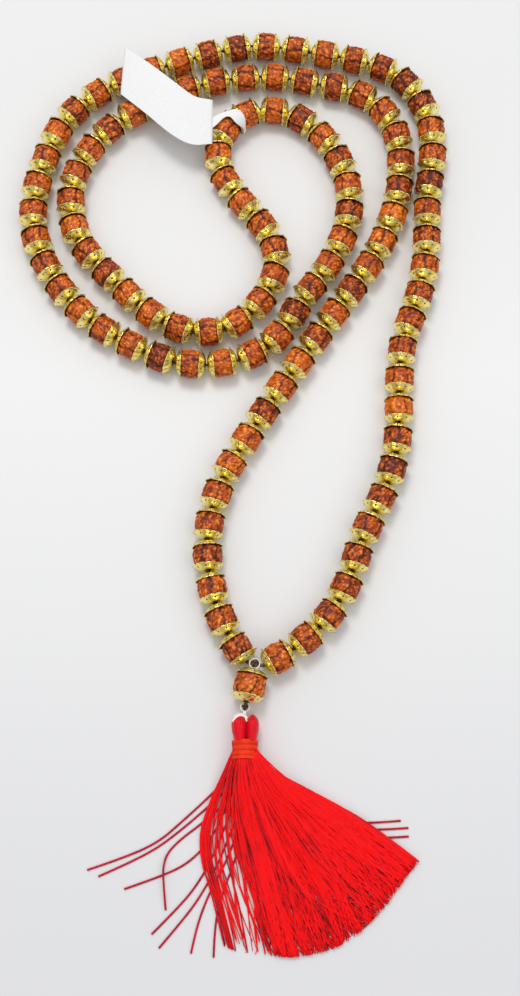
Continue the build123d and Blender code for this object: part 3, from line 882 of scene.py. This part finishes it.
def lobe(side):
    """One lobe: an oval of half widths a(t) and b(t) carried from the top (t = 0) to the neck (t = 1).

    Both rise as sin(1.3 pi t)^0.62 near the top, so the top is round, and draw in a little towards the
    neck. Round the oval the size swells by 1.6% of two waves, one swelling for each bundle of threads."""
    t = np.linspace(0.012, 1, HEAD_ROWS)[:, None]
    angle = (np.arange(HEAD_COLUMNS) * TURN / HEAD_COLUMNS)[None]
    rise = np.sin(np.minimum(t * 2.6, 1) * math.pi / 2) ** 0.62
    waist = 1 - 0.2 * smoothstep((t - 0.55) / 0.45)
    half_width = (1.74 - 0.16 * side) * rise * waist
    nip = 1 - 0.14 * smoothstep((t - 0.5) / 0.5)
    half_depth = (head_high[2] - head_low[2]) / 2 * 0.97 * rise * nip
    middle_x = bar[0] + 0.22 + side * (1.6 - 0.22 * smoothstep((t - 0.35) / 0.65))
    fold = 0.5 * smoothstep((t - 0.2) / 0.8)
    waves = np.cos(30 * angle + 1.2 * np.sin(3 * angle + side)) + 0.6 * np.cos(47 * angle + 2.0 * t * side)
    grooves = 1 + 0.016 * waves * rise
    x = middle_x + half_width * np.cos(angle) * grooves * (1 - 0.12 * fold)
    y = head_high[1] + 0.35 - t * (head_high[1] - head_low[1] + 0.6) + 0 * angle
    z = (head_low[2] + head_high[2]) / 2 + half_depth * np.sin(angle) * grooves
    # painted shade: the tone follows the waves, so the silk is darker in the grooves between bundles and
    # lighter on their bulges
    tone = 0.5 + 0.22 * waves + 0 * t
    return np.stack([x, y, z], axis=-1), tone


lobes, painted_groove_shades = zip(*(lobe(side) for side in (-1, 1)))
piece = surface("tassel_lobes", np.stack(lobes), close_rows=False, values={"tone": np.stack(painted_groove_shades)})
dress(piece, head_silk, "tassel", "tassel_head", "tassel_head")
print("lobes:", len(lobes), "with", HEAD_ROWS, "by", HEAD_COLUMNS, "points each")

# %% White thread over the lobes' shoulders
SHOULDER_THREAD = 0.24
top = head_high[1] + 0.3
over = np.array([
    [[bar[0] - 3.0, top - 1.6, 4.8], [bar[0] - 2.1, top - 0.45, 4.9], [bar[0] - 0.9, top - 0.1, 4.5],
     [bar[0] - 0.05, top - 0.5, 4.3], [bar[0] + 0.3, top - 1.7, 4.7]],
    [[bar[0] - 3.0, top - 2.1, 5.0], [bar[0] - 2.0, top - 0.95, 5.4], [bar[0] - 0.8, top - 0.55, 5.1],
     [bar[0] + 0.05, top - 0.95, 4.8], [bar[0] + 0.45, top - 2.0, 5.0]],
    [[bar[0] - 2.7, top - 1.3, 5.0], [bar[0] - 1.7, top - 0.5, 5.05], [bar[0] - 0.6, top - 0.35, 4.8],
     [bar[0] + 0.2, top - 0.75, 4.6], [bar[0] + 0.6, top - 1.3, 4.9]],
])
over_lines = np.stack([spaced(smooth_line(line, 20), 50) for line in over])
piece = surface(
    "white_shoulder_threads", tubes(over_lines, SHOULDER_THREAD, columns=8, **WHITE_PLIES),
    close_rows=False, values={"tone": np.array([0.6, 0.9, 0.7])[:, None, None]},
)
dress(piece, white_thread, "tassel", "white_tie", "tassel_head")
print("threads over the shoulders:", len(over))

# %% Neck: close turns of thread on an oval
wrap_low, wrap_high = (np.array(corner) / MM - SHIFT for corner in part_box("neck_wrap"))
WRAP_TURNS = 13
WRAP_THREAD = 0.2
turned = np.linspace(0, WRAP_TURNS, WRAP_TURNS * 44)
half = (wrap_high - wrap_low) / 2
waist = 1 - 0.06 * np.sin(math.pi * turned / WRAP_TURNS)
spring = np.stack([
    bar[0] + (half[0] - WRAP_THREAD) * waist * np.cos(turned * TURN),
    wrap_high[1] - WRAP_THREAD - turned / WRAP_TURNS * (2 * half[1] - 2 * WRAP_THREAD)
    + 0.07 * np.sin(turned * TURN + 0.4 * turned),
    (wrap_low[2] + wrap_high[2]) / 2 + (half[2] - WRAP_THREAD) * waist * np.sin(turned * TURN),
], axis=-1)
piece = surface(
    "wound_neck_thread", tubes(spring[None], WRAP_THREAD, columns=7), close_rows=False,
    values={"tone": 0.55 + 0.3 * np.sin(turned * 1.7)[None, :, None]},
)
dress(piece, wound_silk, "tassel", "neck_wrap", "neck_wrap")
print("head from", np.round(head_low, 2), "to", np.round(head_high, 2))
print("turns round the neck:", WRAP_TURNS)

# %% [markdown]
# ## The skirt
#
# Hundreds of silk threads fan out from the neck and lie on the table. Eight guide curves say how the fan
# opens, from its left edge to its right. A thread anywhere between two guides follows a blend of them, so
# the skirt is one function of two parameters: how far across the fan, and how far along the thread. The
# right side is dense, and on the left the threads gather in thin bunches with gaps between them. Each
# thread swings and wavers a little across the fan, and its length is its tuft's, so the hem is ragged.

# %% Guides across the fan, in millimetres from the middle of the neck's end
GUIDES = np.array([
    [(-2.9, 2.4), (-5.4, -3.2), (-8.2, -9.6), (-10.3, -17.0), (-9.8, -24.0), (-7.6, -31.0), (-4.6, -42.4)],
    [(-2.5, 2.4), (-4.5, -4.2), (-6.5, -12.4), (-7.0, -20.3), (-5.8, -27.4), (-3.8, -34.4), (-1.4, -43.6)],
    [(-1.6, 2.4), (-2.6, -5.8), (-2.1, -15.0), (-0.3, -23.4), (1.5, -30.6), (3.2, -37.6), (5.0, -44.4)],
    [(-0.6, 2.4), (0.4, -6.0), (3.3, -16.4), (6.5, -25.2), (8.8, -32.4), (10.8, -39.0), (12.4, -44.8)],
    [(0.5, 2.4), (3.4, -6.0), (8.9, -15.6), (13.7, -23.4), (17.7, -30.2), (20.6, -36.0), (23.2, -41.9)],
    [(1.5, 2.4), (6.4, -5.4), (13.6, -13.4), (19.6, -20.0), (24.8, -25.6), (28.8, -29.9), (32.6, -34.0)],
    [(2.3, 2.4), (8.2, -4.2), (16.6, -10.4), (23.8, -15.6), (29.6, -20.0), (34.0, -23.7), (38.0, -27.0)],
    [(2.9, 2.4), (6.6, -2.2), (13.4, -6.0), (20.8, -9.9), (27.4, -13.7), (34.0, -18.4), (40.8, -23.6)],
])
NECK_END = np.array([bar[0], wrap_low[1], 0])
print("guides:", len(GUIDES), "with", GUIDES.shape[1], "points each")


SHARE_BEFORE, SHARE_PAST = -0.03, 1.12      # how far a thread may run past the guides


def fan(share, reach):
    """The point at a share (0 left to 1 right) across the guides, and a reach (0 neck to 1 hem) along them.
    Both ways the guides are joined by the same Catmull-Rom weights as the strand's curve."""
    def weights(value, count):
        at = np.clip(value, SHARE_BEFORE, SHARE_PAST) * (count - 1)
        start = np.clip(np.floor(at).astype(int), 0, count - 2)
        t = at - start
        cubic = 0.5 * np.stack([
            -t + 2 * t**2 - t**3, 2 - 5 * t**2 + 3 * t**3, t + 4 * t**2 - 3 * t**3, -(t**2) + t**3,
        ], axis=-1)
        index = np.clip(start[..., None] + np.arange(-1, 3), 0, count - 1)
        return index, cubic

    rows, row_weights = weights(share, len(GUIDES))
    columns, column_weights = weights(reach, GUIDES.shape[1])
    chosen = GUIDES[rows[..., :, None], columns[..., None, :]]
    return np.einsum("...i,...j,...ijk->...k", row_weights, column_weights, chosen)


HEM_HEIGHT = 1.0


def pile(distance):
    """Height of the skirt's upper side: the hem's, and 4.2 mm more at the neck, which falls to a third of
    itself every 13 mm from the neck's end."""
    return HEM_HEIGHT + 4.2 * np.exp(-distance / 13.0)


def under(distance):
    """Height of the skirt's lower side, which comes down to the table within a few millimetres."""
    return 0.12 + 0.9 * np.exp(-distance / 3.5)


# %% Threads of the skirt
THREAD_ROWS, THREAD_COLUMNS = 26, 5
LEFT_SIDE = 0.29           # the share of the fan where threads lie apart
NECK_FILL = 3.9            # how deep the threads are stacked where they leave the neck
DENSE, BUNCHED, SINGLE, STRAY = 780, 38, 20, 70
dense_share = 0.31 + 0.69 * (np.arange(DENSE) + rng.uniform(0, 1, DENSE)) / DENSE
bunches = np.array([0.0, 0.035, 0.075, 0.11, 0.16, 0.2, 0.245, 0.285])
bunched_share = rng.choice(bunches, BUNCHED) + rng.normal(0, 0.006, BUNCHED)
single_share = 0.34 * rng.uniform(0, 1, SINGLE) ** 0.75
strays = [-0.015, 0.36, 0.5, 0.62, 0.75, 0.88, 1.0, 1.035]
stray_share = rng.choice(strays, STRAY) + rng.normal(0, 0.035, STRAY)
share = np.concatenate([dense_share, bunched_share, single_share, stray_share])
count = len(share)
stray = np.arange(count) >= count - STRAY
tuft = np.interp(share, np.linspace(-0.1, 1.1, 90), rng.normal(0, 0.034, 90))
hem = 1.0 + tuft + rng.normal(0, 0.016, count) - 0.07 * (rng.uniform(0, 1, count) < 0.12)
reach = np.linspace(0, 1, THREAD_ROWS)[None] * hem[:, None]
wild = np.where(rng.uniform(0, 1, (count, 1)) < 0.12, 2.4, 1.0)
wild = np.where(stray[:, None], 3.4, wild)
swing = wild * rng.normal(0, 0.021, (count, 1)) * np.sin(math.pi * reach * rng.uniform(0.5, 1.5, (count, 1)))
turns_of, start_of = rng.uniform(1, 3, (count, 1)), rng.uniform(0, 1, (count, 1))
waver = rng.normal(0, 0.007, (count, 1)) * reach * np.sin(TURN * (reach * turns_of + start_of))
gather = 0.021 * np.sin(share[:, None] * TURN * 19 + 5 * reach) * np.sin(math.pi * 0.6 * np.minimum(reach, 1))
flat = fan(share[:, None] + swing + waver + gather, reach)
distance = np.linalg.norm(flat, axis=-1)
layer = np.where(stray[:, None], 1.0, rng.uniform(0, 1, (count, 1)) ** 0.7)
lift = np.where(share[:, None] < LEFT_SIDE, 0.45, 1.0)
z = under(distance) + layer * (pile(distance) * lift - under(distance) - 0.15)
z = np.maximum(z + 0.08 * np.sin(9 * reach + TURN * layer), 0.2)
neck_z = (wrap_low[2] + wrap_high[2]) / 2 + (layer - 0.5) * NECK_FILL
mix = np.exp(-np.maximum(distance - 1.5, 0) / 3.0)
z = z * (1 - mix) + neck_z * mix
lines = np.concatenate([flat, z[..., None]], axis=-1) + NECK_END
thickness = np.where(share[:, None] < LEFT_SIDE, 0.8, 1.0) * rng.uniform(0.14, 0.21, (count, 1))
thickness = thickness * (1 - 0.35 * (reach / hem[:, None]) ** 8)
# painted shade: threads lower in the pile get a darker tone, as if shaded by those above; the rest of the
# tone, and the darker threads picked at random, vary at random
tone = 0.22 + 0.75 * layer + rng.normal(0, 0.14, (count, 1)) - 0.5 * (rng.uniform(0, 1, (count, 1)) < 0.17)
tone = np.clip(tone, 0, 1)
points = tubes(lines, thickness, columns=THREAD_COLUMNS)
points[..., 2] = np.maximum(points[..., 2], 0.02)
halves = np.array_split(np.argsort(share), 2)
for name, members in zip(("skirt_threads_left", "skirt_threads_right"), halves):
    piece = surface(name, points[members], close_rows=False, values={"tone": tone[members][..., None]})
    dress(piece, red_silk, "tassel", "tassel_thread", "tassel_skirt")
print("skirt threads:", count, "longest", round(float(distance.max()), 1), "mm from the neck")

# %% [markdown]
# ## Loose threads
#
# Eleven long threads have come away from the skirt and lie on the table in easy curves. Each is a free
# cord: one smooth NURBS spline with the route's points as its control points, given the thread's real
# diameter by its bevel. Some points carry a third number, which lifts a thread over another one.

# %% Loose threads, as lengths in millimetres and points from the middle of the neck's end
LOOSE_RADIUS = 0.25
LOOSE_THREADS = [
    (39.9, [(-4.5, -4), (-9.3, -8.9), (-15.4, -14.4), (-20.6, -18.9), (-28, -22.3), (-37.4, -25.4)]),
    (35.3, [(-5.5, -7.5), (-10.5, -12.1), (-15.9, -16.6), (-21, -20.4), (-27.6, -23.8), (-34.7, -26.9)]),
    (30.3, [(-5.5, -10.5), (-10.6, -14.8), (-15.4, -18.3), (-18.6, -21.6), (-19.4, -25, 0.8),
            (-19.2, -28.4, 0.8), (-18.6, -34.6)]),
    (36.7, [(-3, -6.5), (-5.2, -13), (-9, -19.4), (-13.4, -23.8), (-19.3, -26.7), (-28.5, -29.8)]),
    (36.7, [(-2.4, -9.5), (-5.4, -17), (-8.2, -23.6), (-11.4, -29), (-15.2, -33.6), (-21.8, -40.1)]),
    (36.5, [(-1.6, -12), (-4.6, -20), (-7.8, -26.8), (-11.2, -32.6), (-15, -37.4), (-20, -43.2)]),
    (33.7, [(-0.6, -13), (-3.6, -22), (-7.3, -28.6), (-9.8, -34.2), (-11.5, -39.6), (-12.5, -44.4)]),
    (32.4, [(0.4, -14), (-2.2, -23), (-5.2, -30.6), (-7, -37.2), (-7.2, -45.3)]),
    (36.1, [(3.5, -4.5), (11, -8.6), (18.5, -12.4), (25.5, -14.3), (31.6, -14.4), (37.4, -13.9)]),
    (37.2, [(4, -6.5), (12.5, -10.8), (20.6, -14.4), (28.4, -16.4), (39.2, -15.6)]),
    (36.1, [(5, -8.5), (14, -12.8), (23, -16.6), (31, -18.2), (39.2, -17.6)]),
]
loose_silk, tree, shader = material("loose red silk", Roughness=0.5, Specular_IOR_Level=0.22)
fibres = use(tree, spun_fibres, Place=tree.place(), Tone=0.35, Scale=500.0)
finish_with(
    tree, shader,
    colour=tree.between(tree.spread(fibres["Shade"], 0.15, 0.7), (0.30, 0.0, 0.02), (0.72, 0.002, 0.03)),
    height=fibres["Height"], depth=0.00005,
)
for number, (length, route) in enumerate(LOOSE_THREADS, start=1):
    curve = bpy.data.curves.new(f"loose_thread_{number:02d}", "CURVE")
    curve.dimensions = "3D"
    curve.bevel_depth = LOOSE_RADIUS * MM
    curve.bevel_resolution = 2
    curve.resolution_u = 10
    curve.use_fill_caps = True
    spline = curve.splines.new("NURBS")
    spline.points.add(len(route) - 1)
    for point, (x, y, *raised) in zip(spline.points, route):
        place = (NECK_END + [x, y, LOOSE_RADIUS + sum(raised)] + SHIFT) * MM
        point.co = (*place, 1)
    spline.order_u = 3
    spline.use_endpoint_u = True
    piece = bpy.data.objects.new(curve.name, curve)
    bpy.context.scene.collection.objects.link(piece)
    dress(piece, loose_silk, "tassel", "tassel_thread", "loose_threads")
print("loose threads:", len(LOOSE_THREADS), "of", [length for length, _ in LOOSE_THREADS], "mm")

# %% [markdown]
# ## The paper tag
#
# A slip of stiff white paper lies over the coil, a little arched, with a band that loops round the thread
# between two beads. Both are flat strips: a flattened oval carried along a middle line, with its width
# laid across the paper. The slip and the band meet at the fold, where the slip turns.

# %% Flat strips
PAPER = 0.12               # half the paper's thickness


def strip(middle, half_width, half_depth, columns):
    """A flat strip: middle + width sgn(cos)|cos|^(1/2) + depth sgn(sin)|sin|^(1/4), for vectors along
    the strip's half width and half depth. The small powers square the oval's corners."""
    angle = np.arange(columns) * TURN / columns
    wide = np.sign(np.cos(angle)) * np.abs(np.cos(angle)) ** 0.5
    deep = np.sign(np.sin(angle)) * np.abs(np.sin(angle)) ** 0.25
    across_it = half_width[..., None, :] * wide[:, None] + half_depth[..., None, :] * deep[:, None]
    return middle[..., None, :] + across_it


# %% The slip, between its two long edges
fold = joint_place("tag_lift")
TAG_TOP = [(fold[0], 112.1), (-18.0, 112.9), (-23.0, 116.6), (-30.3, 122.8), (-37.6, 128.9)]
TAG_BOTTOM = [(fold[0], 98.4), (-18.6, 97.9), (-24.2, 100.9), (-31.4, 107.6), (-38.4, 114.2)]
TAG_ROWS, TAG_COLUMNS = 41, 44
TAG_ARCH, TAG_CROWN = 1.25, 0.22      # how high it arches along, and across
top_line, bottom_line = (
    spaced(smooth_line(edge, 20), TAG_ROWS - 1) for edge in (TAG_TOP, TAG_BOTTOM)
)
along_tag = np.linspace(0, 1, TAG_ROWS)
arch = fold[2] + TAG_ARCH * np.sin(math.pi * along_tag) ** 0.8 - 0.05 * along_tag
middle = np.column_stack([(top_line + bottom_line) / 2, arch])
half_width = np.column_stack([(top_line - bottom_line) / 2, 0.28 * np.sin(2.2 * along_tag)])
sheet = strip(middle, half_width, np.tile([0, 0, PAPER], (TAG_ROWS, 1)), TAG_COLUMNS)
across_tag = (sheet[..., 1] - middle[:, None, 1]) / half_width[:, None, 1]
sheet[..., 2] += TAG_CROWN * (1 - across_tag**2) * np.sin(math.pi * along_tag)[:, None]
piece = surface("paper_tag_slip", sheet[None], close_rows=False)
dress(piece, paper, "paper_tag", "tag_paper", "paper_tag")
print("slip from the fold at", np.round(fold, 2), "to", TAG_TOP[-1], TAG_BOTTOM[-1])

# %% The band: a lead from the fold, and a hoop round the thread
LOOP_AFTER = 50            # the band goes between this bead and the next
LOOP_SHIFT, LOOP_RADIUS = 0.9, 3.97
BAND_HALF, LEAD_HALF = 0.42, 1.67      # half its width between the beads, and on top of them
HOOP_ENDS = 325            # how far the hoop goes round, in degrees
loop_ahead = gaps[LOOP_AFTER + 1] - gaps[LOOP_AFTER - 1]
loop_ahead = loop_ahead / np.linalg.norm(loop_ahead)
inwards = np.array([loop_ahead[1], -loop_ahead[0]])
hoop = np.array([*(gaps[LOOP_AFTER] + inwards * LOOP_SHIFT), fold[2] - LOOP_RADIUS])
dive = np.radians(np.linspace(0, HOOP_ENDS, 90))
hoop_line = hoop + LOOP_RADIUS * np.column_stack([
    inwards[0] * np.sin(dive), inwards[1] * np.sin(dive), np.cos(dive)
])
lead = np.array([[fold[0], 105.0], [-11.4, 106.2], [-9.4, 107.5], [-8.0, 108.1], hoop_line[0, :2]])
lead_line = spaced(smooth_line(lead, 12), 30)[:-1]
lead_line = np.column_stack([lead_line, np.full(len(lead_line), fold[2])])
band_line = np.vstack([lead_line, hoop_line])
lead_part = np.concatenate([np.linspace(0, 1, len(lead_line)), np.ones(len(hoop_line))])
start_width = np.array([0.02, 1.0])
turning = smoothstep(lead_part)[:, None]
width_way = start_width * (1 - turning) + loop_ahead * turning
width_way = width_way / np.linalg.norm(width_way, axis=1)[:, None]
down_hoop = np.concatenate([np.zeros(len(lead_line)), np.degrees(dive)])
half_band = BAND_HALF + (LEAD_HALF - BAND_HALF) * (1 - smoothstep((down_hoop - 25) / 55))
outwards = np.column_stack([
    inwards[0] * np.sin(np.radians(down_hoop)), inwards[1] * np.sin(np.radians(down_hoop)),
    np.cos(np.radians(down_hoop)),
])
half_widths = np.column_stack([width_way * half_band[:, None], np.zeros(len(band_line))])
band = strip(band_line, half_widths, outwards * PAPER, 16)
piece = surface("paper_tag_band", band[None], close_rows=False)
dress(piece, paper, "strand", "tag_paper", "tag_band")
print("band round the thread at", np.round(hoop, 2), "with radius", LOOP_RADIUS)

# %% [markdown]
# ## Floor and light
#
# The string lies on a pale, plain table, whose colour is painted a little darker towards its near and far
# sides as a painted fall of the light. Soft light from above and behind puts a soft shadow on the near
# side of each strand. The sky is brighter overhead than at the horizon, because gilt brass shows what is
# round it and needs something dark to look like metal.

# %% Floor
floor_mesh = bpy.data.meshes.new("floor")
EDGE = 3.0                 # half the table's side, in metres
corners = [(-EDGE, -EDGE, 0), (EDGE, -EDGE, 0), (EDGE, EDGE, 0), (-EDGE, EDGE, 0)]
floor_mesh.from_pydata(corners, [], [(0, 1, 2, 3)])
floor = bpy.data.objects.new("floor", floor_mesh)
bpy.context.scene.collection.objects.link(floor)
pale, tree, shader = material("pale table", Roughness=0.9, Specular_IOR_Level=0.1)
broad = tree.add("ShaderNodeTexNoise", {"Vector": tree.place(), "Scale": 4.0, "Detail": 1.0})
depth_way = tree.add("ShaderNodeSeparateXYZ", {"Vector": tree.place()}).outputs["Y"]
TABLE_FALLOFF_STOPS = [
    (0.0, (0.72, 0.72, 0.735)), (0.3, (0.79, 0.79, 0.795)), (0.65, (0.83, 0.83, 0.83)),
    (1.0, (0.78, 0.78, 0.78)),
]
patchy = tree.math("MULTIPLY", broad.outputs["Fac"], 0.06)
# painted shade: the table's colour is darker towards its near and far sides, standing in for the fall of the
# light
painted_table_falloff = tree.math("ADD", tree.spread(depth_way, -0.14, 0.14), patchy)
finish_with(tree, shader, colour=tree.ramp(painted_table_falloff, TABLE_FALLOFF_STOPS))
floor_mesh.materials.append(pale)
floor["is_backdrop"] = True
print("table:", 2 * EDGE, "m wide")

# %% Light
world = bpy.data.worlds.new("studio")
bpy.context.scene.world = world
world.use_nodes = True
tree = Tree(world.node_tree)
sky = world.node_tree.nodes["Background"]
part_of = tree.add("ShaderNodeSeparateXYZ", {"Vector": tree.add("ShaderNodeTexCoord").outputs["Generated"]})
high = tree.spread(part_of.outputs["Z"], -0.1, 0.9)
tree.tree.links.new(tree.between(high, (0.25, 0.25, 0.255), (0.84, 0.85, 0.86)), sky.inputs["Color"])
sky.inputs["Strength"].default_value = 1.0


def lamp(name, place, aim, size, power, colour=(1, 1, 1)):
    """A square soft light at a place, turned towards an aim, in metres."""
    data = bpy.data.lights.new(name, "AREA")
    data.size = size
    data.energy = power
    data.color = colour
    made = bpy.data.objects.new(name, data)
    bpy.context.scene.collection.objects.link(made)
    made.location = place
    way = np.asarray(aim) - np.asarray(place)
    flat_way = math.hypot(way[0], way[1])
    made.rotation_euler = (math.atan2(flat_way, -way[2]), 0, math.atan2(-way[0], way[1]))


LAMPS = {
    "key": {"place": (-0.10, 0.36, 0.80), "aim": (0, 0.02, 0), "size": 0.28, "power": 2.7,
            "colour": (1.0, 0.99, 0.97)},
    "fill": {"place": (0.5, -0.4, 0.7), "aim": (0, 0, 0), "size": 0.6, "power": 0.8},
}
for name, settings in LAMPS.items():
    lamp(name, **settings)
bpy.context.scene.view_settings.view_transform = "Standard"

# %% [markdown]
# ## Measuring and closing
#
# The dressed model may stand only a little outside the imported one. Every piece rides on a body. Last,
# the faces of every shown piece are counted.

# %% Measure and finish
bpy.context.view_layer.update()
faces = sum(len(o.data.polygons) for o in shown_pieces() if o.type == "MESH")
print("faces in all:", faces)
